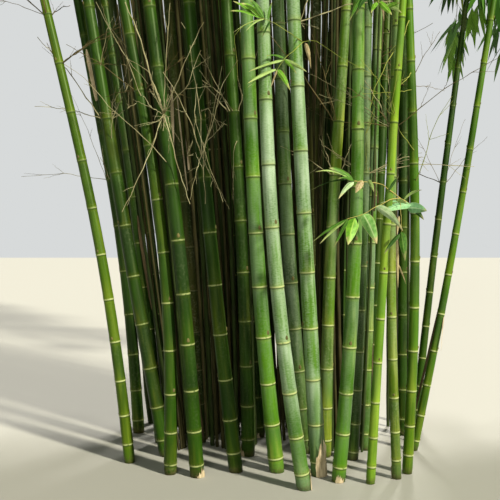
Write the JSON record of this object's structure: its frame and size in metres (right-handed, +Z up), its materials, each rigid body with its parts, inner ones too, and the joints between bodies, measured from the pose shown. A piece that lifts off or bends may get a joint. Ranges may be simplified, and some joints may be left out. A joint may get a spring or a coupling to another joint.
{
  "type": "bamboo clump",
  "caption": "Clump of giant bamboo rooted in level ground: bare jointed culms rise close together and arch out into leafy nodding tops.",
  "frame": {"origin": "middle of the flat cut at ground level under the main culm, culm_01", "axes": "+Z up, +X to the viewer's right, -Y towards the viewer, who faces the clump's front"},
  "size_m": [10.0276, 9.56, 13.2865],
  "materials": {
    "culm_green": "smooth waxy green culm",
    "culm_young": "smooth yellow-green culm",
    "culm_dead": "dull brown dead culm",
    "leaf": "satin leaf",
    "dry_twig": "dull dry twig"
  },
  "bodies": {
    "root": {"culm_01": "culm_green", "leafy_top_01": "leaf", "culm_02": "culm_green", "leafy_top_02": "leaf", "culm_03": "culm_green", "leafy_top_03": "leaf", "culm_04": "culm_green", "leafy_top_04": "leaf", "culm_05": "culm_green", "leafy_top_05": "leaf", "culm_06": "culm_green", "leafy_top_06": "leaf", "culm_07": "culm_green", "leafy_top_07": "leaf", "culm_08": "culm_green", "leafy_top_08": "leaf", "culm_09": "culm_green", "leafy_top_09": "leaf", "culm_10": "culm_green", "leafy_top_10": "leaf", "culm_11": "culm_green", "leafy_top_11": "leaf", "culm_12": "culm_green", "leafy_top_12": "leaf", "culm_13": "culm_green", "leafy_top_13": "leaf", "culm_14": "culm_green", "leafy_top_14": "leaf", "culm_15": "culm_green", "leafy_top_15": "leaf", "culm_16": "culm_young", "culm_17": "culm_green", "leafy_top_17": "leaf", "culm_18": "culm_green", "leafy_top_18": "leaf", "culm_19": "culm_green", "leafy_top_19": "leaf", "culm_20": "culm_young", "culm_21": "culm_dead", "culm_22": "culm_young", "culm_23": "culm_dead", "culm_24": "culm_green", "leafy_top_24": "leaf", "culm_25": "culm_young", "culm_26": "culm_green", "leafy_top_26": "leaf", "culm_27": "culm_green", "leafy_top_27": "leaf", "culm_28": "culm_dead", "culm_29": "culm_green", "leafy_top_29": "leaf", "culm_30": "culm_green", "leafy_top_30": "leaf", "culm_31": "culm_green", "leafy_top_31": "leaf", "culm_32": "culm_young", "leafy_spray_right": "leaf", "leafy_spray_middle": "leaf", "dry_twigs_left": "dry_twig", "dry_twigs_middle": "dry_twig"}
  },
  "joints": []
}
